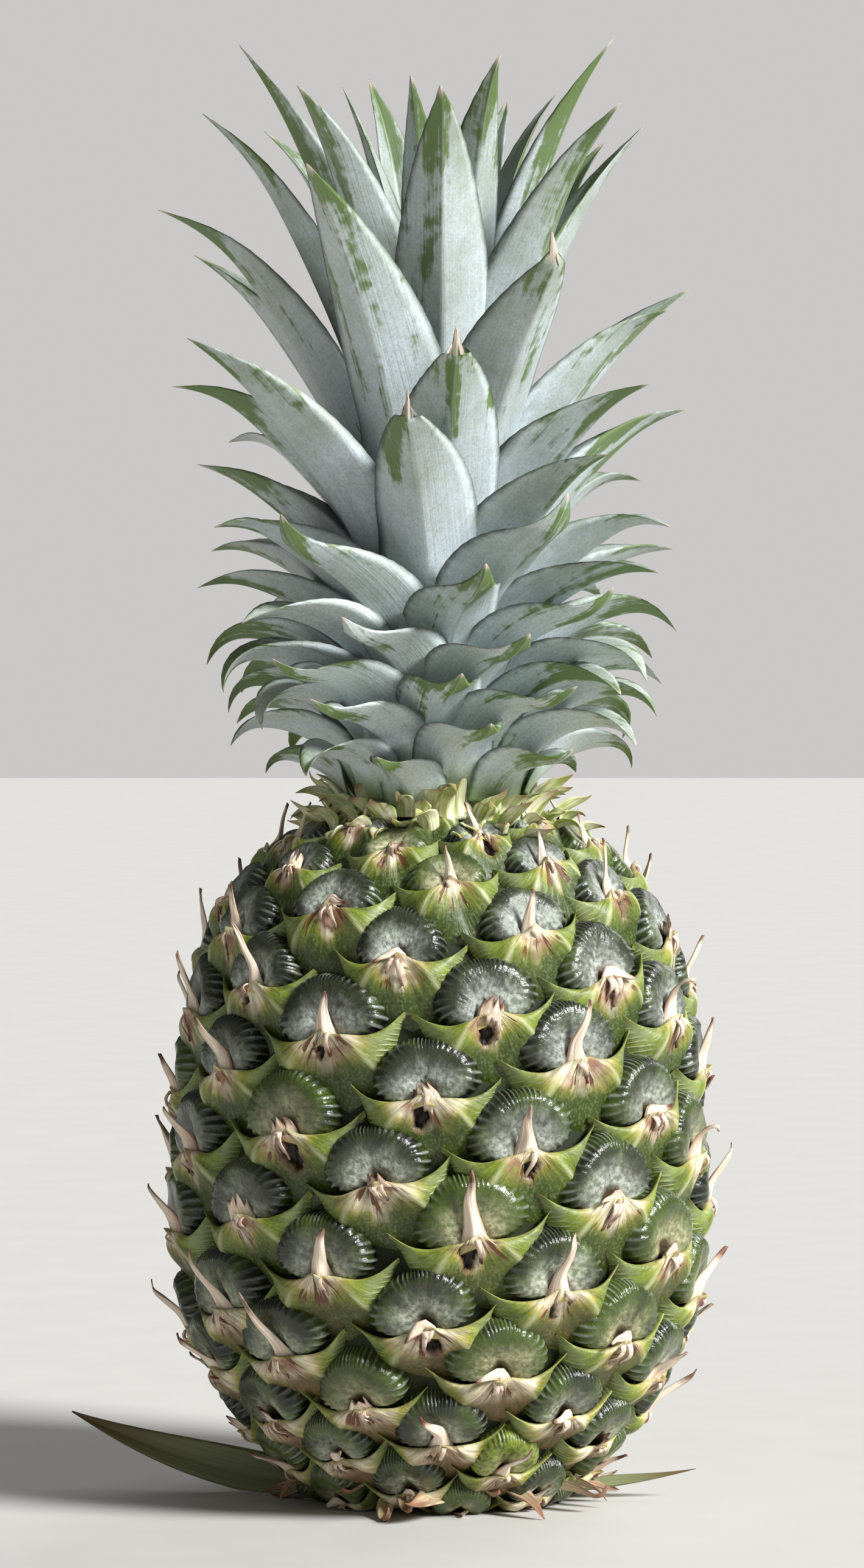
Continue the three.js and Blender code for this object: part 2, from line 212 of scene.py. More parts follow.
# Eyes pushed off their place by their neighbours: mm to the right and up.
CROWDED = {
    96: (-7, 0), 99: (-4, 1.5), 88: (-4, 1.5), 112: (1, -4), 49: (4, -2), 46: (4, 0), 44: (4, -3),
}
CUSHION = {"half_width": 13.1, "above": 9.1, "below": 7.8, "middle": 3.7, "crest": 3.8, "foot": -1.9}
CUSHION_TOP, NARROWING = 12.6, 0.4  # how high it reaches, and how much narrower it has grown there
RIPEST = 17  # the one eye, low at the front, whose rim has ripened to a bright yellow-green
SQUARENESS = 2.35  # 2 would be an ellipse
PUCKERS, HIDDEN_PUCKERS = 31, 4  # round the whole rim, and those of them that lie under the bract
UNDER_BRACT = 0.14  # the share of the rim that they lie on, to each side of its foot
PUCKER_DEPTH, PUCKER_REACH = 0.4, 0.02  # in mm proud, and as a share of how far out the rim is
LOPSIDED = (0.045, 0.035)  # how far the outline strays in two waves round it, and in three
STEEP_FROM = 0.62  # how far out from the middle the steep rim starts
HUB_DIMPLE, VALLEY, SWELL = 2.5, 1.1, 0.3  # how deep its hub and the fold above it are, and its swells
RINGS = [1.0, 0.94, 0.87, 0.78, STEEP_FROM, 0.3, 0.0]  # how far out each ring of points is


def clamp01(t):
    return min(1.0, max(0.0, t))


def ease(low, high, value):
    """0 below low, 1 above high, and smooth between."""
    t = clamp01((value - low) / (high - low))
    return t * t * (3 - 2 * t)


def scatter(which, what):
    """A number from -1 to 1 that is always the same for the same two whole numbers."""
    wave = math.sin(which * 12.9898 + what * 78.233) * 43758.5453
    return 2 * (wave - math.floor(wave)) - 1


class Eye:
    """Where one eye sits in the spirals, and how it differs a little from the others."""

    def __init__(self, number):
        self.number = number
        self.steps = FIRST_EYE["steps"] + number
        self.turn = math.radians(FIRST_EYE["turn"] - GOLDEN_ANGLE * number)
        self.lean = math.radians(EYE_LEAN + STRAY["lean"] * scatter(number, 1))
        self.size = 1 + STRAY["size"] * scatter(number, 2)
        right, up = CROWDED.get(number, (0, 0))
        self.aside = (right + STRAY["aside"] * scatter(number, 3), up + STRAY["up"] * scatter(number, 4))
        self.tint = 0.5 + 0.5 * scatter(number, 5)
        radius, self.height = STATIONS[min(len(STATIONS) - 1, int(self.steps * STEP_CUTS))][:2]
        # The room that the crown leaves for its dry tip, and how much of its top is covered.
        self.room = ease(22, 34, radius) if self.height > 60 else 1.0
        self.hidden = 0.3 * ease(122, 150, self.height)
        # How green its rim is, most in the lowest eyes, which ripen first.
        self.green = ease(0.45, 0.9, scatter(number, 17)) + 0.45 * ease(110, 25, self.height)
        if number == RIPEST:
            self.green = 2.5
        # The hole torn in its bract: how far right of the hub and above it, and how deep.
        hole_x, hole_y = -1.2 + 2.8 * scatter(number, 13), -5.2 - 1.2 * scatter(number, 14)
        self.hollow = (hole_x, hole_y, ease(0.15, 0.5, scatter(number, 15)))

    def at(self, x, y, out):
        """A point x mm right of the eye's hub, y mm above it and out mm proud of the barrel."""
        across = self.size * (x * math.cos(self.lean) - y * math.sin(self.lean)) + self.aside[0]
        up = self.size * (x * math.sin(self.lean) + y * math.cos(self.lean)) + self.aside[1]
        return on_barrel(self.turn + across / WIDEST, self.steps + up / EYE_PITCH, out)


eyes = [Eye(number) for number in range(EYES)]


def new_skin(*told):
    """An empty mesh whose points hold three numbers under each of the names in told."""
    bm = bmesh.new()
    for name in told:
        bm.verts.layers.float_vector.new(name)
    return bm


def told_to(tree, *told):
    """For a material: the three numbers that the points hold under each of the names."""
    for name in told:
        numbers = add(tree, "Attribute", attribute_name=name).outputs["Vector"]
        yield add(tree, "SeparateXYZ", [numbers]).outputs


def drawn_out(tree, place, closeness, **noise):
    """Noise over three coordinates, with how close together it lies along each: streaks and fibres."""
    place = [add(tree, "Math", [at, close], "MULTIPLY") for at, close in zip(place, closeness)]
    return add(tree, "TexNoise", {"Vector": add(tree, "CombineXYZ", place), "Scale": 1.0, **noise})


def cushion(eye):
    def shape(u, v):
        round_rim = PUCKERS * u
        shown = (round_rim - HIDDEN_PUCKERS / 2) / (PUCKERS - HIDDEN_PUCKERS)
        turn = UNDER_BRACT + (1 - 2 * UNDER_BRACT) * shown
        if shown <= 0:
            turn = UNDER_BRACT * round_rim / (HIDDEN_PUCKERS / 2)
        elif shown >= 1:
            turn = 1 - UNDER_BRACT * (PUCKERS - round_rim) / (HIDDEN_PUCKERS / 2)
        angle = 2 * math.pi * turn - math.pi / 2
        across, up = math.cos(angle), math.sin(angle)
        end = CUSHION["above"] * (1 - eye.hidden) if up > 0 else CUSHION["below"]
        reach = abs(across / CUSHION["half_width"]) ** SQUARENESS + abs(up / end) ** SQUARENESS
        reach **= -1 / SQUARENESS
        twofold, threefold = math.sin(2 * angle + 9 * eye.tint), math.sin(3 * angle + 31 * eye.tint)
        reach *= 1 + LOPSIDED[0] * twofold + LOPSIDED[1] * threefold
        from_middle = RINGS[round(v * (len(RINGS) - 1))]
        slope = clamp01((from_middle - STEEP_FROM) / (1 - STEEP_FROM))
        pucker = math.cos(2 * math.pi * round_rim)
        pucker *= ease(0.2, 0.75, slope) * ease(-0.8, -0.3, up)
        pucker *= 0.65 + 0.35 * math.sin(7 * angle + 40 * eye.tint)
        reach *= 1 + PUCKER_REACH * pucker
        x = reach * from_middle * across
        y = CUSHION["middle"] + reach * from_middle * up
        x *= 1 - NARROWING * clamp01(y / CUSHION_TOP) ** 1.6
        out = mix(CUSHION["foot"], CUSHION["crest"], (1 - slope**2.2) ** 0.62)
        out += PUCKER_DEPTH * pucker
        out -= HUB_DIMPLE * math.exp(-(x * x + (y + 0.5) ** 2) / 28)
        out -= VALLEY * math.exp(-((x / 1.6) ** 2)) * ease(9, 1, y)
        swell = math.sin(0.5 * x + 40 * eye.tint) * math.cos(0.6 * y + 17 * eye.tint)
        out += SWELL * swell * (1 - slope)
        return eye.at(x, y, out), {"eye": (x, y, eye.tint), "rim": (eye.green, from_middle, pucker)}

    return shape


# Cushion rind: hard and glossy green-black where it is bare, so its puckers glint, and greyed by a
# wax bloom that is thickest at the hub and drawn out from there in fine folds. The bloom's grain is
# 1 mm across and its clouds are 8 mm. A MapRange lists its value, the two ends that the value runs
# between and what it gives at them, 0 and 1 if nothing is said.
SMOOTH = {"interpolation_type": "SMOOTHSTEP"}
cushion_rind, tree, shader = new_material("pineapple cushion rind with wax bloom")
(eye_x, eye_y, kind), (ripening, to_rim, puckered) = told_to(tree, "eye", "rim")
ground = add(tree, "TexCoord").outputs["Object"]
from_hub = add(tree, "Math", [eye_y, 1.5], "ADD")
bearing = add(tree, "Math", [eye_x, from_hub], "ARCTAN2")
flat_place = add(tree, "CombineXYZ", [eye_x, from_hub])
reach = add(tree, "VectorMath", [flat_place], "LENGTH").outputs["Value"]
folds = drawn_out(tree, (bearing, reach, kind), (4.0, 0.14, 37.0), Detail=4.0, Roughness=0.65)
grain = add(tree, "TexNoise", {"Vector": ground, "Scale": 900.0, "Detail": 5.0})
clouds = add(tree, "TexNoise", {"Vector": ground, "Scale": 120.0, "Detail": 3.0})
wandering = add(tree, "Math", [clouds, -9.0, reach], "MULTIPLY_ADD")
folding = add(tree, "Math", [folds, -5.5, wandering], "MULTIPLY_ADD")
near_hub = add(tree, "MapRange", [folding, 3.7, -5.4], **SMOOTH)
grained = add(tree, "MapRange", [grain, 0.36, 0.64, 0.3])
bloom = add(tree, "Math", [near_hub, grained], "MULTIPLY")
bloom_tone = add(tree, "Mix", {"Factor": ripening, "A": "#cbd3cb", "B": "#c6c29b"})
off_rim = add(tree, "MapRange", [to_rim, 0.9, 0.6], **SMOOTH)
greener = add(tree, "Math", [ripening, 0.22, clouds], "MULTIPLY_ADD")
green_here = add(tree, "MapRange", [greener, 0.5, 0.72, 0.0, 0.8])
uneven_ripeness = add(tree, "Math", [grain, 2.6, ripening], "MULTIPLY_ADD")
ripest = add(tree, "MapRange", [uneven_ripeness, 3.2, 4.3, 0.0, 0.85])
# The pucker crests are painted pale grey in patches: a painted highlight along the rim's ridges.
painted_crest_highlight = add(tree, "MapRange", [puckered, 0.0, 1.0, 0.0, 0.9])
patchy = add(tree, "MapRange", [clouds, 0.4, 0.6, 0.5])
painted_crest_highlight = add(tree, "Math", [painted_crest_highlight, patchy], "MULTIPLY")
at_hub = add(tree, "MapRange", [reach, 4.6, 1.6], **SMOOTH)
tone = "#13150c"
for where, colour in (
    (off_rim, "#333929"), (green_here, "#46571c"), (ripest, "#8fa02a"), (painted_crest_highlight, "#949c94"),
    (bloom, bloom_tone), (at_hub, "#4a3a22"),
):
    tone = add(tree, "Mix", {"Factor": where, "A": tone, "B": colour})
dullness = add(tree, "MapRange", [bloom, 0.0, 0.6, 0.25, 0.68])
uneven = add(tree, "Math", [folds, grain], "ADD")
bump = add(tree, "Bump", {"Height": uneven, "Strength": 0.5, "Distance": 0.5 * MM})
feed(tree, shader, {"Base Color": tone, "Roughness": dullness, "Normal": bump})

bm = new_skin("eye", "rim")
for eye in eyes:
    sheet(bm, 4 * PUCKERS, len(RINGS) - 1, cushion(eye))
bmesh.ops.remove_doubles(bm, verts=bm.verts, dist=SEAM)
finish_piece("eye_cushions", bm, cushion_rind, "fruit", "fruit")

# ---- The eyes' bracts ----
# Below its cushion each eye keeps the leaf it grew in the arm of: a fleshy bract that clasps the
# cushion's foot with two pointed wings and runs down between the eyes below. Two sharp ribs part
# its side lobes from the middle panel, which ripens yellow and tears.
UPPER_EDGE = [(0, -0.6), (2.1, -1.2), (4.6, -1.9), (9, -2.3), (13.4, -1.0), (17.6, 2.0)]
LOWER_EDGE = [(3.4, -19.5), (8.2, -16.6), (12.8, -12.2), (14.6, -7.2), (16.0, -2.6), (17.8, 1.7)]
RIB = 0.4  # how far along those edges the rib runs
BRACT_OUT = {"hub": 4.0, "wing": 0.9, "tail": -2.4, "panel": 1.3, "rib": 2.4, "middle": 1.5}
HOLE = {"wide": 1.5, "tall": 2.3, "deep": 2.4, "lip": 0.6}  # a torn hole at its smallest
LIP = {"thick": 0.5, "tucked": 1.2}
BRACT_COLUMNS, BRACT_ROWS, LIP_ROWS = 38, 16, 2
GATHER = 0.25  # how far the columns gather at the middle
FINE = 200  # points that each half of an edge is cut into
upper_edge, lower_edge = (
    bend_through(points, FINE)[:: len(points) - 1] for points in (UPPER_EDGE, LOWER_EDGE)
)


def bract(eye):
    tail = LOWER_EDGE[0][0]
    hole_x, hole_y, hole = eye.hollow
    gape = 0.55 + 0.8 * (0.5 + 0.5 * scatter(eye.number, 18)) ** 2
    ripe = mix(0.3, 1.1, eye.tint) * (1 + 0.7 * ease(70, 20, eye.height))

    def shape(u, v):
        side = (2 * u - 1) * abs(2 * u - 1) ** GATHER
        spread = abs(side)
        row = v * (BRACT_ROWS + LIP_ROWS) - LIP_ROWS
        down = (max(0.0, row) / BRACT_ROWS) ** 1.2
        (top_x, top_y), (low_x, low_y) = (edge[round(spread * FINE)] for edge in (upper_edge, lower_edge))
        if side < 0:
            top_x, low_x = -top_x, 2 * tail * (1 - ease(0, 0.5, spread)) - low_x
        x, y = mix(top_x, low_x, down), mix(top_y, low_y, down)
        arch = math.sin(math.pi * min(1, down * 1.08))
        out = mix(mix(BRACT_OUT["hub"], BRACT_OUT["wing"], spread**1.35), BRACT_OUT["tail"], down**1.4)
        out -= BRACT_OUT["panel"] * arch * (1 - ease(0, RIB, spread))
        to_rib = (RIB - spread) / RIB if spread < RIB else (spread - RIB) / (1 - RIB)
        out += BRACT_OUT["rib"] * arch**0.5 * (1 - to_rib) ** (1.7 if spread < RIB else 1.3)
        out += BRACT_OUT["middle"] * math.exp(-((x / 1.5) ** 2)) * (1 - down) ** 2 * (1 - hole)
        from_hole = math.hypot((x - hole_x) / HOLE["wide"], (y - hole_y) / HOLE["tall"]) / gape
        from_hole += 0.2 * math.sin(3 * math.atan2(x - hole_x, y - hole_y) + 30 * eye.tint)
        sunk = hole * ease(1.25, 0.75, from_hole)
        out -= HOLE["deep"] * sunk
        out += HOLE["lip"] * hole * math.exp(-(((from_hole - 1.35) / 0.25) ** 2))
        out += 0.3 * math.sin(9 * side + 30 * eye.tint) * arch
        y += 0.35 * math.sin(11 * side + 25 * eye.tint) * (1 - down) * (1 - spread)
        tuck = max(0.0, -row) / LIP_ROWS
        under = max(0.0, 2 * tuck - 1)
        y -= LIP["tucked"] * under
        out -= LIP["thick"] * min(1, 2 * tuck) + LIP["tucked"] * under
        dry_low = mix(0.4, 0.9, eye.tint) * ease(85, 15, eye.height) * (1 - ease(0.25, 0.5, spread))
        torn = max(hole * ease(1.65, 1.0, from_hole), dry_low)
        told = {"eye": (x, y, eye.tint), "blade": (side, down, torn), "worn": (sunk, ripe, arch)}
        return eye.at(x, y, out), told

    return shape


# Bract flesh: green and fibrous, paler on its ribs with a highlight painted along them, and powdered
# on its lobes. It is yellow where it is ripe round the hub, and torn there in dry brown slits and
# hollows, the hollows painted near-black inside as shade. Its tail is darker green, partly painted shade
# where it runs down between the eyes below. Its blotches are 6 mm across and its brown patches 8 mm.
bract_flesh, tree, shader = new_material("ripe pineapple bract")
(eye_x, eye_y, kind), (side, down, torn), (sunk, ripened, arched) = told_to(tree, "eye", "blade", "worn")
ground = add(tree, "TexCoord").outputs["Object"]
below = add(tree, "Math", [1.0, eye_y], "SUBTRACT")
bearing = add(tree, "Math", [eye_x, below], "ARCTAN2")
flat_place = add(tree, "CombineXYZ", [eye_x, below])
reach = add(tree, "VectorMath", [flat_place], "LENGTH").outputs["Value"]
streaks = drawn_out(tree, (bearing, reach, kind), (9.0, 0.11, 29.0), Detail=5.0, Roughness=0.6)
blotch = add(tree, "TexNoise", {"Vector": ground, "Scale": 170.0, "Detail": 4.0})
# Ripe flesh is cream at the hub, then yellow, then green, and dark green towards its tail, partly painted
# shade where the tail runs down between the eyes below.
wavering = add(tree, "Math", [blotch, -9.0, reach], "MULTIPLY_ADD")
off_middle = add(tree, "Math", [eye_x], "ABSOLUTE")
on_ridge = add(tree, "MapRange", [off_middle, 0.4, 2.4, -4.0, 0.0])
wavering = add(tree, "Math", [wavering, on_ridge], "ADD")
ripeness = add(tree, "Math", [ripened, -5.0, wavering], "MULTIPLY_ADD")
cream_off = add(tree, "MapRange", [ripeness, -3.8, 0.8], **SMOOTH)
greening = add(tree, "MapRange", [ripeness, -2.5, 2.5], **SMOOTH)
depth = add(tree, "Math", [blotch, -8.0, below], "MULTIPLY_ADD")
darker_and_shaded_tail = add(tree, "MapRange", [depth, 1.0, 8.0], **SMOOTH)
streaky = add(tree, "MapRange", [streaks, 0.4, 0.65, 0.0, 0.65])
# Specks of wax are really some 0.1 mm across, and are drawn at 0.6 mm so that they show.
specks = add(tree, "TexNoise", {"Vector": ground, "Scale": 1500.0, "Detail": 3.0})
speckled = add(tree, "MapRange", [specks, 0.48, 0.66, 0.0, 0.18])
spread = add(tree, "Math", [side], "ABSOLUTE")
powder = add(tree, "Math", [blotch, 0.9, spread], "MULTIPLY_ADD")
powder = add(tree, "MapRange", [powder, 0.95, 1.25, 0.0, 0.55], **SMOOTH)
powdery = add(tree, "Math", [powder, arched], "MULTIPLY")
# Along each rib's crest the flesh is paler, with a painted highlight over it.
off_rib = add(tree, "Math", [spread, RIB], "SUBTRACT")
off_rib = add(tree, "Math", [off_rib], "ABSOLUTE")
pale_rib_and_highlight = add(tree, "MapRange", [off_rib, 0.045, 0.0, 0.0, 0.75])
pale_rib_and_highlight = add(tree, "Math", [pale_rib_and_highlight, arched], "MULTIPLY")
# Its middle panel browns round the hub, and its torn places dry in streaks and open in slits.
brown_near = add(tree, "MapRange", [reach, 10.0, 5.0], **SMOOTH)
patches = add(tree, "TexNoise", {"Vector": ground, "Scale": 130.0, "Detail": 6.0})
brown_patch = add(tree, "MapRange", [patches, 0.5, 0.6], **SMOOTH)
in_panel = add(tree, "MapRange", [spread, 0.42, 0.3], **SMOOTH)
brown_here = add(tree, "Math", [brown_near, brown_patch], "MULTIPLY")
brown_here = add(tree, "Math", [brown_here, in_panel], "MULTIPLY")
dry_streaks = add(tree, "MapRange", [streaks, 0.36, 0.6, 0.35])
dry_here = add(tree, "Math", [dry_streaks, torn], "MULTIPLY")
brown_here = add(tree, "Math", [brown_here, dry_here], "MAXIMUM")
slits = drawn_out(tree, (bearing, reach, kind), (5.5, 0.11, 29.0), Detail=2.0)
slit = add(tree, "MapRange", [slits, 0.58, 0.63], **SMOOTH)
slit_near = add(tree, "MapRange", [reach, 10.5, 8.0], **SMOOTH)
slit = add(tree, "Math", [slit, slit_near], "MULTIPLY")
slit = add(tree, "Math", [slit, in_panel], "MULTIPLY")
# Inside the torn hollows the flesh is painted dark brown-black: painted shade in the hollow.
ragged = add(tree, "Math", [streaks, -1.6, sunk], "MULTIPLY_ADD")
hole = add(tree, "MapRange", [ragged, -0.55, -0.1])
edge = add(tree, "MapRange", [down, 0.06, 0.0, 0.0, 0.5], **SMOOTH)
# The outer margins of the lobes are pinched into fine folds, 1.1 mm apart, with a highlight painted along
# each crest.
fold_wave = add(tree, "Math", [streaks, 6.0], "MULTIPLY")
fold_wave = add(tree, "Math", [eye_y, 5.7, fold_wave], "MULTIPLY_ADD")
fold_wave = add(tree, "Math", [fold_wave], "SINE")
at_margin = add(tree, "MapRange", [down, 0.45, 0.7])
in_lobe = add(tree, "MapRange", [spread, 0.43, 0.55])
pinched = add(tree, "Math", [at_margin, in_lobe], "MULTIPLY")
fold_crest_highlight = add(tree, "MapRange", [fold_wave, 0.0, 0.9, 0.0, 0.85])
fold_crest_highlight = add(tree, "Math", [fold_crest_highlight, pinched], "MULTIPLY")
tone = "#f1e4c6"
for where, colour in (
    (cream_off, "#c5ae52"), (greening, "#7b8b26"), (darker_and_shaded_tail, "#374a09"), (streaky, "#2d3c08"),
    (speckled, "#b4b894"), (powdery, "#95a078"), (pale_rib_and_highlight, "#c3c596"), (brown_here, "#946f59"),
    (slit, "#6b3f28"), (hole, "#241a10"), (edge, "#b5b26c"), (fold_crest_highlight, "#a2a97c"),
):
    tone = add(tree, "Mix", {"Factor": where, "A": tone, "B": colour})
relief = add(tree, "Math", [slit, -1.5, streaks], "MULTIPLY_ADD")
relief = add(tree, "Math", [fold_crest_highlight, 0.8, relief], "MULTIPLY_ADD")
bump = add(tree, "Bump", {"Height": relief, "Strength": 0.6, "Distance": 0.6 * MM})
feed(tree, shader, {"Base Color": tone, "Roughness": 0.42, "Normal": bump})

bm = new_skin("eye", "blade", "worn")
for eye in eyes:
    sheet(bm, BRACT_COLUMNS, BRACT_ROWS + LIP_ROWS, bract(eye))
bmesh.ops.reverse_faces(bm, faces=bm.faces)
finish_piece("eye_bracts", bm, bract_flesh, "fruit", "fruit")

# ---- The bracts' dry tips ----
# Each bract ends at its hub in a thorn-like point that has dried to pale paper, brown at its end,
# on a root that spreads over the bract's edge. Most stand up close to the rind, some have curled
# over, and some are broken short and hang in torn strips.
TIP = {"root": -3.2, "length": 14.5, "width": 4.4, "root_width": 9.5, "thick": 0.3}
TIP_OUT = {"root": 3.5, "most": 8.6, "on_shoulder": 5}  # mm out of the barrel, and more at its top
TIP_RISE, SHOULDER_RISE = 8, 20  # degrees that it leans out at its root, and more at the barrel's top
# Each kind's share of that length and width, how far it lifts in degrees, and how sharp its keel is.
TIP_KINDS = {
    "whole": (1, 1, 19, 0.45), "curled": (1, 1, 110, 0.45), "broken": (0.45, 1.3, 10, 0.2),
    "bent": (0.6, 0.75, 10, 0.2),
}
TIP_COLUMNS, TIP_ROWS = 6, 14
STRIP_COLUMNS, STRIP_ROWS = 2, 6


def dry_tip(eye):
    facing = math.cos(eye.turn)
    worn = scatter(eye.number, 7) - 0.5 * max(0.0, facing) + 0.4 * (1 - abs(facing))
    kind = "bent" if worn <= -0.85 else "broken" if worn < -0.45 else "whole"
    if worn > 0.8 and facing > 0.3:
        kind = "curled"
    longer, wider, lift, keel = TIP_KINDS[kind]
    length = TIP["length"] * (1 + 0.28 * scatter(eye.number, 8)) * mix(0.6, 1, eye.room) * longer
    breadth = TIP["width"] * wider
    aside = math.radians(32 * scatter(eye.number, 6) * abs(scatter(eye.number, 6)))
    if kind == "bent":
        aside = math.copysign(math.radians(95 + 40 * scatter(eye.number, 9)), aside)
    roll = math.radians(40 * scatter(eye.number, 12))
    on_shoulder = ease(95, 130, eye.height)
    if kind == "whole":
        lift += 9 * scatter(eye.number, 10) + SHOULDER_RISE * on_shoulder
    most_out = TIP_OUT["most"] + TIP_OUT["on_shoulder"] * on_shoulder
    lifted_by = 1.0 if kind == "curled" else 0.5
    broken = kind == "broken"
    line = [(TIP["root"], TIP_OUT["root"], 0.0)]
    for step in range(TIP_ROWS):
        along = (step + 0.5) / TIP_ROWS
        rise = math.radians(TIP_RISE + lift * ease(0.15, lifted_by, along))
        y, out, x = line[-1]
        stride = length / TIP_ROWS
        turn = aside * ease(0.25, 0.45, along) + 0.25 * math.sin(9 * along + 30 * eye.tint) * along
        y += stride * math.cos(rise) * math.cos(turn)
        line.append((y, out + stride * math.sin(rise), x + stride * math.cos(rise) * math.sin(turn)))

    def shape(u, v):
        side = 2 * u - 1
        along = v * (1 - 0.45 * broken * (0.5 + 0.5 * math.sin(16 * u + 30 * eye.tint)))
        step = min(TIP_ROWS - 1, int(along * TIP_ROWS))
        y, out, x = (mix(a, b, along * TIP_ROWS - step) for a, b in zip(line[step], line[step + 1]))
        wide = breadth * (1 - along) ** 0.85
        wide += (TIP["root_width"] - breadth) * math.exp(-length * along / 1.7)
        wide += 0.25 + 0.5 * breadth * along * broken
        turned = aside * ease(0.25, 0.45, along)
        twist = roll * ease(0.1, 0.5, along)
        off = side * wide / 2
        x += off * math.cos(twist) * math.cos(turned)
        y -= off * math.cos(twist) * math.sin(turned)
        y -= 0.16 * abs(side) * wide * math.exp(-length * along / 2)
        out += off * math.sin(twist) - keel * abs(side) * min(5.0, wide)
        out += 0.35 * math.sin(4 * side + 20 * eye.tint + 6 * v) * v
        told = {"blade": (side, v * length / TIP["length"], eye.tint), "drying": (v, 0.0, 0.0)}
        return eye.at(x, y, min(out, most_out)), told

    return shape


STRIPS = {"few": 1, "many": 3}  # torn strips at one eye's hub


def torn_strip(eye, which):
    """A strip of dry skin torn from the hub and hanging over the panel below it."""
    length = 4.5 + 2 * scatter(eye.number, 20 + which)
    start = 1.5 * scatter(eye.number, 30 + which)
    aside = 0.5 * scatter(eye.number, 40 + which)

    def shape(u, v):
        side = 2 * u - 1
        x = start + aside * length * v + side * mix(0.7, 0.25, v)
        y = -1.4 - length * v
        out = mix(4.0, 2.3, v) + 1.6 * math.sin(math.pi * min(1, 1.25 * v)) + 0.2 * side
        told = {"blade": (side, 0.35 + 0.5 * v, eye.tint), "drying": (0.6 + 0.4 * v, 0.0, 0.0)}
        return eye.at(x, y, out), told

    return shape


# Dried bract: matt, fibrous paper whose pale tips stand out against the dark rind, singed brown at
# its end and along its edges in stains 7 mm across.
dry_paper, tree, shader = new_material("dried bract tip")
(side, along, kind), (dryness, _, _) = told_to(tree, "blade", "drying")
ground = add(tree, "TexCoord").outputs["Object"]
fibres = drawn_out(tree, (side, along, kind), (5.0, 1.6, 41.0), Detail=4.0)
fibrous = add(tree, "MapRange", [fibres, 0.35, 0.68])
edge_near = add(tree, "Math", [side], "ABSOLUTE")
edge_near = add(tree, "Math", [fibres, 0.8, edge_near], "MULTIPLY_ADD")
singed = add(tree, "MapRange", [edge_near, 1.1, 1.5, 0.0, 0.55])
stain = add(tree, "TexNoise", {"Vector": ground, "Scale": 150.0, "Detail": 4.0})
browning = add(tree, "Math", [stain, 0.9, dryness], "MULTIPLY_ADD")
brown = add(tree, "MapRange", [browning, 1.15, 1.5], **SMOOTH)
tone = "#f7ecd9"
for where, colour in ((fibrous, "#dcbba2"), (singed, "#96654c"), (brown, "#6b3f29")):
    tone = add(tree, "Mix", {"Factor": where, "A": tone, "B": colour})
from_root = add(tree, "MapRange", [along, 0.0, 0.16])
tone = add(tree, "Mix", {"Factor": from_root, "A": "#b3a85c", "B": tone})
bump = add(tree, "Bump", {"Height": fibres, "Strength": 0.6, "Distance": 0.4 * MM})
feed(tree, shader, {"Base Color": tone, "Roughness": 0.65, "Normal": bump})

bm = new_skin("blade", "drying")
for eye in eyes:
    if eye.room > 0.3:
        sheet(bm, TIP_COLUMNS, TIP_ROWS, dry_tip(eye))
        for which in range(STRIPS["many" if scatter(eye.number, 7) < -0.1 else "few"]):
            sheet(bm, STRIP_COLUMNS, STRIP_ROWS, torn_strip(eye, which))
tips = finish_piece("bract_tips", bm, dry_paper, "dry_leaf", "fruit")
thickness = tips.modifiers.new("thickness", "SOLIDIFY")
thickness.thickness = TIP["thick"] * MM
thickness.offset = 0

# ---- Cut stalk ----
# The stub of the stalk that carried the fruit, sawn off flush when it was picked: tough fibrous
# bundles in a paler pith, dried brown where it was cut.
# Its fibres end in pale dots 1 mm apart, matt and stained in patches 6 mm across.
cut_fibre, tree, shader = new_material("dried cut plant stalk")
ground = add(tree, "TexCoord").outputs["Object"]
bundles = add(tree, "TexVoronoi", {"Vector": ground, "Scale": 900.0}).outputs["Distance"]
bundle_here = add(tree, "MapRange", [bundles, 0.25, 0.5])
stain = add(tree, "TexNoise", {"Vector": ground, "Scale": 180.0, "Detail": 5.0})
tone = add(tree, "Mix", {"Factor": bundle_here, "A": "#6d4a2a", "B": "#b79b6b"})
tone = add(tree, "Mix", {"Factor": stain, "A": tone, "B": "#8a6a42"})
bump = add(tree, "Bump", {"Height": bundles, "Strength": 0.5, "Distance": 0.4 * MM})
feed(tree, shader, {"Base Color": tone, "Roughness": 0.85, "Normal": bump})
cut_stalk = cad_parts["cut_stalk"]
cut_stalk.data.materials.clear()
cut_stalk.data.materials.append(cut_fibre)

# ---- Dry stalk leaves ----
# Two narrow leaves that grew on the stalk below the fruit and stayed on it when it was cut. They
# have dried to olive and brown and lie out from under the base.
BLADE_COLUMNS, BLADE_ROWS = 12, 40
CHANNEL = {"low": 0.38, "high": 0.58}  # half the angle a blade curls across, in radians
KEEL = 0.48  # how sharply it folds at its middle
CLASP = {"low": 0.95, "high": 0.7}  # the root's width as a share of the blade's
LEAF_THICK = {"root": 1.2, "tip": 0.4}
STALK_REACH = 11.35  # where the stalk's side is
STALK_LEAVES = {
    "stalk_leaf_left": {"turn": -104, "length": 79, "width": 10.5, "lean": 78, "recurve": -24, "roll": 62},
    "stalk_leaf_right": {"turn": 86, "length": 48, "width": 6, "lean": 82, "recurve": -16, "roll": -15},
}
GATHER_AT_KEEL = 0.4  # how far the columns gather at a blade's middle
FULL_WIDTH, CHANNELLED = 0.25, 0.3  # how far along it is at its widest, and at its deepest
TAPER, FULLNESS = 0.65, 1.15  # the share of its length that narrows to its point, and how roundly
DRY_FROM, DRY_TO = 0.925, 0.95  # how far along a torn leaf its dry end starts, and is all dry
DRY_CURL = -60  # degrees that this end turns back up


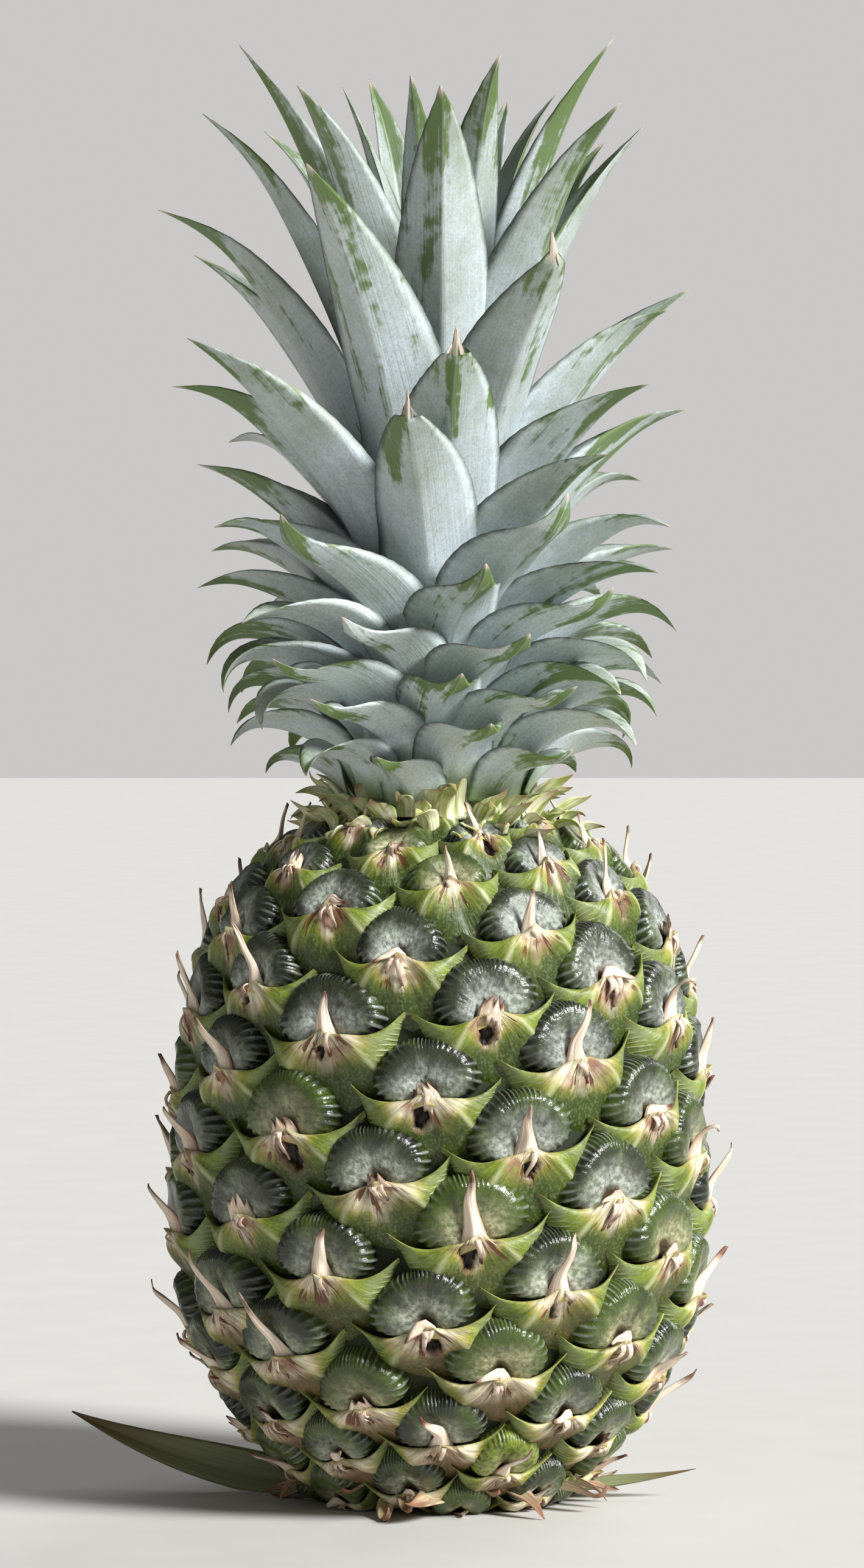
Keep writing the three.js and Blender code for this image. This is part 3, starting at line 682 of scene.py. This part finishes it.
class Blade:
    """A leaf's middle line, from its root on the stem to its tip, and how wide it is along it."""

    def __init__(
        self, number, turn, root, length, width, lean, recurve, clasp, channel,
        side=0.0, hook=0.0, torn=False, roll=0.0, spines=0.0,
    ):
        self.number, self.length, self.width = number, length, width
        self.lean, self.recurve, self.hook = math.radians(lean), math.radians(recurve), math.radians(hook)
        self.clasp, self.channel, self.torn, self.spines = clasp, channel, torn, spines
        self.roll = math.radians(roll)
        turn = math.radians(turn)
        self.radial = Vector((math.sin(turn), -math.cos(turn), 0))
        self.sideways = Vector((math.cos(turn), math.sin(turn), 0))
        radius, height = root
        drift, stride = 0.0, length / BLADE_ROWS
        self.line = [(radius, height, drift)]
        for row in range(BLADE_ROWS):
            t = (row + 0.5) / BLADE_ROWS
            radius += stride * math.sin(self.lean_at(t))
            height += stride * math.cos(self.lean_at(t))
            drift += stride * math.sin(math.radians(side)) * t
            drift += stride * 0.5 * math.sin(self.hook) * scatter(number, 11) * ease(0.9, 1, t)
            self.line.append((radius, height, drift))

    def lean_at(self, t):
        lean = self.lean + self.recurve * (t - 0.5) + self.hook * ease(0.7, 1, t)
        return lean + math.radians(DRY_CURL) * ease(DRY_FROM - 0.01, DRY_TO, t) * self.torn

    def half_width(self, t):
        """Half the width at t, with small spines at every other station of the outer margin."""
        from_tip = min(1, ((1.025 if self.torn else 1) - t) / TAPER)
        spine = self.spines * (round(t * BLADE_ROWS) % 2) * ease(0.3, 0.5, t)
        width = self.width * mix(self.clasp, 1, clamp01(t / FULL_WIDTH))
        width *= (1 - (1 - from_tip) ** 2) ** FULLNESS
        half = width / 2.08 + 0.2 + spine
        return mix(half, 0.4 + 16 * (1 - t), ease(DRY_FROM, DRY_TO, t) * self.torn)

    def shape(self, u, v):
        """The skin is rolled round the blade: its outer face first, then back along its inner face."""
        radius, height, drift = self.line[round(v * BLADE_ROWS)]
        inner = u > 0.5
        across = 3 - 4 * u if inner else 4 * u - 1
        across *= abs(across) ** GATHER_AT_KEEL
        half = self.half_width(v)
        lean = self.lean_at(v)
        curl = max(half * max(0.02, math.cos(lean)) / max(radius, 6), self.channel * clamp01(v / CHANNELLED))
        curl *= 1 - 0.8 * ease(0.5, 1, v)
        thick = mix(LEAF_THICK["root"], LEAF_THICK["tip"], v) * math.sqrt(1 - across**2)
        bend = half / curl - thick * min(1, half / 2) * inner
        wave = 0.4 * math.sin(9 * v + 2 * self.number) * across * min(1, half / 6)
        keel = KEEL * half * clamp01(v / CHANNELLED) * abs(across)
        sweep = bend * math.sin(across * curl)
        lift = half / curl - bend * math.cos(across * curl) + keel + wave
        roll = self.roll * ease(0.05, 0.4, v)
        swung = sweep * math.cos(roll) + lift * math.sin(roll)
        lift = lift * math.cos(roll) - sweep * math.sin(roll)
        up = Vector((0, 0, 1))
        away = self.radial * math.cos(lean) - up * math.sin(lean)
        along = self.radial * math.sin(lean) + up * math.cos(lean)
        ragged = 1.6 * math.sin(7 * across + self.number) * ease(DRY_FROM - 0.005, DRY_TO, v) * self.torn
        place = self.radial * radius + up * height + self.sideways * (drift + swung)
        place += along * ragged - away * lift
        place.z = max(place.z, LOWEST)
        drying = mix(v, 1, ease(DRY_FROM, DRY_TO, v) * self.torn)
        told = {"blade": (across, drying, float(inner))}
        told["cloth"] = (across * half, v * self.length, self.number % 7 / 7)
        return place * MM, told


def closed_leaves(blades):
    """The leaves in one mesh, their seams joined and their roots and tips closed."""
    bm = new_skin("blade", "cloth")
    for blade in blades:
        sheet(bm, 2 * BLADE_COLUMNS, BLADE_ROWS, blade.shape)
    close_up(bm)
    return bm


def drying_skin(name, closeness, colours, contrast, browning, roughness):
    """Thin, matt, fibrous skin in two tones along its fibres, that turns brown towards its point.

    closeness is how many fibres lie in a mm across and along the blade, and how far they differ from
    one blade to the next. browning is how far the fibres fray the brown, and where it starts and ends.
    """
    material, tree, shader = new_material(name)
    (_, along, _), place = told_to(tree, "blade", "cloth")
    fibres = drawn_out(tree, place, closeness, Detail=4.0)
    pale_here = add(tree, "MapRange", [fibres, *contrast])
    frayed = add(tree, "Math", [fibres, browning[0], along], "MULTIPLY_ADD")
    brown_here = add(tree, "MapRange", [frayed, *browning[1:]], **SMOOTH)
    tone = add(tree, "Mix", {"Factor": pale_here, "A": colours[0], "B": colours[1]})
    tone = add(tree, "Mix", {"Factor": brown_here, "A": tone, "B": colours[2]})
    bump = add(tree, "Bump", {"Height": fibres, "Strength": 0.6, "Distance": 0.4 * MM})
    feed(tree, shader, {"Base Color": tone, "Roughness": roughness, "Normal": bump})
    return material


# Dry leaf: olive in long fibres 0.6 mm apart, and brown at its end.
dry_leaf = drying_skin(
    "dried pineapple stalk leaf", (1.6, 0.03, 0.0), ("#66764a", "#a3a67c", "#6a5434"), (0.0, 1.0),
    (0.0, 0.55, 1.0), 0.6,
)
for number, (name, kept) in enumerate(STALK_LEAVES.items()):
    blade = Blade(
        number, kept["turn"], (STALK_REACH, 0.0), kept["length"], kept["width"],
        kept["lean"], kept["recurve"], CLASP["high"], CHANNEL["low"], roll=kept["roll"],
    )
    finish_piece(name + "_skin", closed_leaves([blade]), dry_leaf, "dry_leaf", name)

# ---- Dried bracts under the base ----
# Below the lowest eyes the last bracts have no fruit of their own. They have dried to thin paper,
# and lie curled on whatever the fruit stands on.
BASE_BRACTS = 27
BRACT_CLASP = 0.9  # the root's width as a share of the bract's
# Dry base bract: straw-coloured paper with brown points, its fibres 0.6 mm apart.
dry_base = drying_skin(
    "dried pineapple base bract", (1.6, 0.12, 1.0), ("#b3b07a", "#e6d2b6", "#8a5f47"), (0.0, 1.0),
    (0.9, 0.7, 1.4), 0.6,
)
base_bracts = []
for number in range(BASE_BRACTS):
    base_bracts.append(Blade(
        number, 10 + GOLDEN_ANGLE * number, (27 + 2.5 * scatter(number, 60), 4.5 + 1.5 * scatter(number, 61)),
        15 + 6 * scatter(number, 62), 5.5 + 1.5 * scatter(number, 63), 98 + 12 * scatter(number, 64),
        10 + 50 * scatter(number, 67), BRACT_CLASP, CHANNEL["low"],
        45 * scatter(number, 65), 90 * scatter(number, 66) - 40, roll=30 * scatter(number, 68),
    ))
finish_piece("base_bracts", closed_leaves(base_bracts), dry_base, "dry_leaf")

# ---- Crown stem and its small leaves ----
# The crown is a young shoot: a short fleshy stem, hidden by the leaves that clasp it. The lowest
# leaves are short and hook over at their ends.
CROWN_FOOT = 157  # height of the foot of the crown
LEAVES, LEAVES_ON_STEM = 94, 42
FIRST_LEAF_TURN = -13.3  # where the lowest leaf stands, degrees round from the front
STEM = {"foot_radius": 19, "waist": 14, "waist_height": 20, "top_radius": 5, "top": 90}
STEM_SIDES, STEM_RINGS = 48, 24
ROOT = {"first": 1.2, "rise": 0.3, "quicken": 0.0069}  # how high up the stem a leaf is rooted
ROOT_CLEAR = 1.85  # how far a leaf's middle stands off the stem at its root
# Each row is a place up the crown, then a leaf's length, width, lean from upright and recurve.
LEAF_STAGES = [
    (0, 22, 16, 66, 60), (0.05, 28, 17, 68, 74), (0.09, 35, 19, 68, 86), (0.22, 41, 20, 67, 86),
    (0.36, 46, 21, 66, 80), (0.45, 49, 22, 62, 66), (0.56, 53, 24, 51, 34), (0.62, 58, 25, 45, 26),
    (0.7, 69, 26, 42, 24), (0.765, 90, 26, 33, 22), (0.82, 108, 25, 23, 18), (0.85, 98, 22, 25, 18),
    (0.9, 96, 19, 20, 16), (0.95, 88, 16, 14, 14), (1, 72, 12, 8, 12),
]
# Some grew otherwise than their neighbours: degrees turned, factor of length, degrees of lean.
UNLIKE = {
    55: (0, 1.28, -5), 60: (-14, 1.3, -3), 63: (-10, 1.18, -4), 66: (0, 0.88, 2), 68: (0, 1.34, -6),
    71: (0, 0.92, 3), 73: (-30, 0.95, 0), 74: (0, 0.7, 6), 76: (7, 1, 0), 86: (0, 1.12, 3), 87: (0, 1.1, 3),
}
TORN_ENDS = (55, 63, 71)  # leaves whose points have dried and broken off
# Leaves whose points turn up again, and how many degrees each of them also bends aside.
UPTURNED = {
    0: -20, 3: 26, 8: 24, 13: -24, 16: 26, 21: 22, 26: -24, 29: 24, 34: -18, 37: 22, 42: 20, 47: -20, 50: 22,
}
UPTURN = -68  # degrees that such a point turns back
WAYWARD = {"turn": 4, "lean": 3, "length": 0.05, "side": 3}  # the leaves' small differences
HOOK = {"low": 50, "high": 8}  # how far the last of a leaf bends over, in degrees
SPINE = 0.1  # how far the spines on its edge stand out


def stem_radius(height):
    if height < STEM["waist_height"]:
        return mix(STEM["foot_radius"], STEM["waist"], clamp01(height / STEM["waist_height"]))
    share = (height - STEM["waist_height"]) / (STEM["top"] - STEM["waist_height"])
    return mix(STEM["waist"], STEM["top_radius"], share)


def crown_leaf(number):
    place = number / (LEAVES - 1)
    low, high = next((a, b) for a, b in zip(LEAF_STAGES, LEAF_STAGES[1:]) if place <= b[0])
    share = (place - low[0]) / (high[0] - low[0])
    length, width, lean, recurve = (mix(a, b, share) for a, b in zip(low[1:], high[1:]))
    rise = ROOT["first"] + ROOT["rise"] * number + ROOT["quicken"] * number**2
    turned, longer, leaned = UNLIKE.get(number, (0, 1, 0))
    turn = FIRST_LEAF_TURN + GOLDEN_ANGLE * number + turned + WAYWARD["turn"] * scatter(number, 1)
    torn = number in TORN_ENDS
    hook = mix(HOOK["low"], HOOK["high"], place) * (1 + 0.8 * scatter(number, 16)) * (not torn)
    return Blade(
        number, turn, (stem_radius(rise) + ROOT_CLEAR, CROWN_FOOT + rise),
        length * longer * (1 + WAYWARD["length"] * scatter(number, 2)), width,
        lean + leaned + WAYWARD["lean"] * scatter(number, 3), recurve,
        mix(CLASP["low"], CLASP["high"], place), mix(CHANNEL["low"], CHANNEL["high"], place),
        WAYWARD["side"] * scatter(number, 4) + UPTURNED.get(number, 0),
        UPTURN if number in UPTURNED else hook, torn, spines=SPINE,
    )


def leaf_skin(name, wax, flesh, worn):
    """A tough fibrous blade, green under a powdery pale wax that is rubbed off in streaks along its
    veins, most at its keel and near its point, which dries to brown."""
    material, tree, shader = new_material(name)
    (across, along, inner), (cloth_x, cloth_y, kind) = told_to(tree, "blade", "cloth")
    ground = add(tree, "TexCoord").outputs["Object"]
    from_middle = add(tree, "Math", [across], "ABSOLUTE")
    # Fine veins run the blade's length, about 0.7 mm apart.
    cloth = (cloth_x, cloth_y, kind)
    veins = drawn_out(tree, cloth, (1.5, 0.03, 53.0), Detail=5.0, Roughness=0.7)
    # Streaks where the wax is rubbed off are some 5 mm wide and 30 mm long, with ends that are
    # brushed out by the veins and by scuffs 3 mm across.
    patches = drawn_out(tree, cloth, (0.2, 0.03, 53.0), Detail=3.0)
    brushed = add(tree, "Math", [veins, 0.35, patches], "MULTIPLY_ADD")
    scuffs = add(tree, "TexNoise", {"Vector": ground, "Scale": 380.0, "Detail": 5.0})
    brushed = add(tree, "Math", [scuffs, 0.3, brushed], "MULTIPLY_ADD")
    nearer_tip = add(tree, "MapRange", [along, 0.45, 1.0, 0.0, 0.3])
    at_keel = add(tree, "MapRange", [from_middle, 0.45, 0.0, 0.0, 0.08])
    wear = add(tree, "Math", [nearer_tip, at_keel], "ADD")
    wear = add(tree, "Math", [wear, brushed], "ADD")
    rubbed = add(tree, "MapRange", [wear, 0.96 - worn, 1.08 - worn, 0.0, 0.9], **SMOOTH)
    # Pale bluish clouds 17 mm across, partly thick wax and partly painted sheen, thin out towards the point.
    clouds = add(tree, "TexNoise", {"Vector": ground, "Scale": 60.0, "Detail": 9.0, "Roughness": 0.75})
    thinning = add(tree, "Math", [along, -0.4, clouds], "MULTIPLY_ADD")
    thinning = add(tree, "Math", [veins, 0.25, thinning], "MULTIPLY_ADD")
    wax_and_sheen_clouds = add(tree, "MapRange", [thinning, 0.14, 0.6])
    waxed = add(tree, "MapRange", [veins, 0.38, 0.68, 0.0, 0.26])
    # The wax lies in grains really some 0.05 mm across, drawn at 0.6 mm so that they show.
    grain = add(tree, "TexNoise", {"Vector": ground, "Scale": 1600.0, "Detail": 2.0})
    grainy = add(tree, "MapRange", [grain, 0.45, 0.62, 0.0, 0.25])
    inner_share = add(tree, "Math", [inner, 0.4], "MULTIPLY")
    midrib = add(tree, "MapRange", [from_middle, 0.07, 0.0, 0.0, 0.3])
    at_root = add(tree, "MapRange", [along, 0.12 + 4 * max(0.0, worn), 0.05, 0.0, 0.7])
    margin = add(tree, "MapRange", [from_middle, 0.92, 1.0, 0.0, 0.6])
    drying = add(tree, "Math", [veins, 0.06, along], "MULTIPLY_ADD")
    dried = add(tree, "MapRange", [drying, 0.985, 1.02], **SMOOTH)
    tone = wax
    for where, colour in (
        (wax_and_sheen_clouds, "#e2ecf7"), (waxed, flesh), (grainy, "#7d8b88"), (rubbed, flesh),
        (inner_share, "#64755a"), (midrib, "#d3dad6"), (at_root, "#7f9f3c"), (margin, "#3a4a2c"),
        (dried, "#b3a898"),
    ):
        tone = add(tree, "Mix", {"Factor": where, "A": tone, "B": colour})
    bump = add(tree, "Bump", {"Height": veins, "Strength": 0.45, "Distance": 0.4 * MM})
    feed(tree, shader, {"Base Color": tone, "Roughness": 0.44, "Normal": bump})
    return material


def stem_shape(u, v):
    height = v * (STEM["top"] + 2)
    turn = 2 * math.pi * u
    radius = stem_radius(height) * math.sqrt(max(0, 1 - v**12)) + 0.4 * math.sin(9 * turn + height)
    place = Vector((radius * math.sin(turn), -radius * math.cos(turn), CROWN_FOOT + height)) * MM
    return place, {"blade": (0.2, 0, 0), "cloth": (turn * 14, height, 0.5)}


# Small leaf: its wax is painted paler than on the large leaves, as painted light on these low leaves that lie
# in shade, and more of it is rubbed off.
small_leaf_painted_lighter = leaf_skin("waxy pineapple crown leaf, small", "#c9d2c5", "#5d7a27", 0.05)
bm = closed_leaves(crown_leaf(number) for number in range(LEAVES_ON_STEM))
sheet(bm, STEM_SIDES, STEM_RINGS, stem_shape)
close_up(bm)
finish_piece("crown_stem_and_small_leaves", bm, small_leaf_painted_lighter, "leaf", "crown_stem")

# ---- Bracts round the crown's foot ----
# Where the fruit ends and the crown begins the last bracts bear no eye. They are small and
# yellow-green, curl back over the shoulder of the fruit and have dried brown at their points.
FOOT_BRACTS = 76
# Yellowing bract: cream fibres 0.8 mm apart on yellow-green, with brown points, duller than a leaf; both
# tones painted lighter as painted light where the crown shades these bracts.
foot_skin_painted_lighter = drying_skin(
    "yellowing pineapple bract", (1.3, 0.1, 53.0), ("#a2b552", "#f6f0d4", "#8f6544"), (0.35, 0.6),
    (0.7, 0.92, 1.4), 0.5,
)
foot_bracts = []
for number in range(FOOT_BRACTS):
    share = number / (FOOT_BRACTS - 1)
    foot_bracts.append(Blade(
        number, 40 + GOLDEN_ANGLE * number, (mix(31, 20, share), mix(151.5, 156.8, share)),
        mix(7, 11, share) * (1 + 0.35 * scatter(number, 50)),
        mix(4, 7, share) * (1 + 0.3 * scatter(number, 55)),
        mix(80, 36, share) + 24 * scatter(number, 51), 40 + 75 * scatter(number, 52), BRACT_CLASP,
        CHANNEL["low"], 30 * scatter(number, 53), 60 * scatter(number, 54), roll=25 * scatter(number, 56),
    ))
finish_piece("foot_bracts", closed_leaves(foot_bracts), foot_skin_painted_lighter, "leaf")

# ---- Crown leaves ----
# The crown's large leaves, stiff and channelled, each wrapped round the stem at its root: broad
# ones that lean out below, and long upright ones in the middle.
# Large leaf: its wax is darker than the small leaves' wax, which is painted lighter, and more whole, over a
# darker green.
large_leaf = leaf_skin("waxy pineapple crown leaf", "#a8b2a3", "#577228", -0.01)
for number in range(LEAVES_ON_STEM, LEAVES):
    skin = closed_leaves([crown_leaf(number)])
    finish_piece(f"leaf_{number}", skin, large_leaf, "leaf", f"crown_leaf_{number}")

# ---- Where it stands ----
# A plain pale floor under soft studio lamps. Its matt paint is even, with faint dust in patches
# 25 mm across, so that nothing draws the eye from the fruit.
FLOOR_REACH = 6  # metres from its middle to its edges
floor_paint, tree, shader = new_material("matt white paint")
ground = add(tree, "TexCoord").outputs["Object"]
dust = add(tree, "TexNoise", {"Vector": ground, "Scale": 40.0, "Detail": 4.0})
floor_tone = add(tree, "Mix", {"Factor": dust, "A": "#c4c3bf", "B": "#cccbc7"})
feed(tree, shader, {"Base Color": floor_tone, "Roughness": 0.8})

bm = bmesh.new()
bmesh.ops.create_grid(bm, x_segments=1, y_segments=1, size=FLOOR_REACH)
floor = make_object("floor", bm, floor_paint)

# The walls look pale to the camera, but light the fruit less than the lamps do.
WALLS = {"colour": "#dedddb", "seen": 0.8, "lighting": 0.17}
world = bpy.data.worlds.new("studio")
world.use_nodes = True
tree = world.node_tree
seen = add(tree, "LightPath").outputs["Is Camera Ray"]
brightness = add(tree, "MapRange", {"Value": seen, "To Min": WALLS["lighting"], "To Max": WALLS["seen"]})
feed(tree, tree.nodes["Background"], {"Color": WALLS["colour"], "Strength": brightness})
bpy.context.scene.world = world
bpy.context.scene.view_settings.view_transform = "Standard"

LAMPS = {
    "key": {"from": (0.95, -0.6, 0.75), "softness": 18, "strength": 5.9},
    "fill": {"from": (-0.7, -1.0, 0.4), "softness": 60, "strength": 0.08},
    "rim": {"from": (0.6, 0.9, 0.6), "softness": 40, "strength": 1.1},
}
for name, lamp in LAMPS.items():
    light = bpy.data.lights.new(name, "SUN")
    light.angle = math.radians(lamp["softness"])
    light.energy = lamp["strength"]
    holder = bpy.data.objects.new(name, light)
    holder.rotation_euler = (-Vector(lamp["from"])).to_track_quat("-Z", "Y").to_euler()
    bpy.context.scene.collection.objects.link(holder)

CAMERA = {"right": -1.7, "back": 1300, "up": 200, "tilt": 1.63, "lens": 130.8, "sensor": 36}  # mm, degrees
camera = bpy.data.cameras.new("camera")
camera.sensor_fit = "VERTICAL"
camera.sensor_height = CAMERA["sensor"]
camera.lens = CAMERA["lens"]
holder = bpy.data.objects.new("camera", camera)
holder.location = (CAMERA["right"] * MM, -CAMERA["back"] * MM, CAMERA["up"] * MM)
holder.rotation_euler = (math.radians(90 - CAMERA["tilt"]), 0, 0)
bpy.context.scene.collection.objects.link(holder)
bpy.context.scene.camera = holder
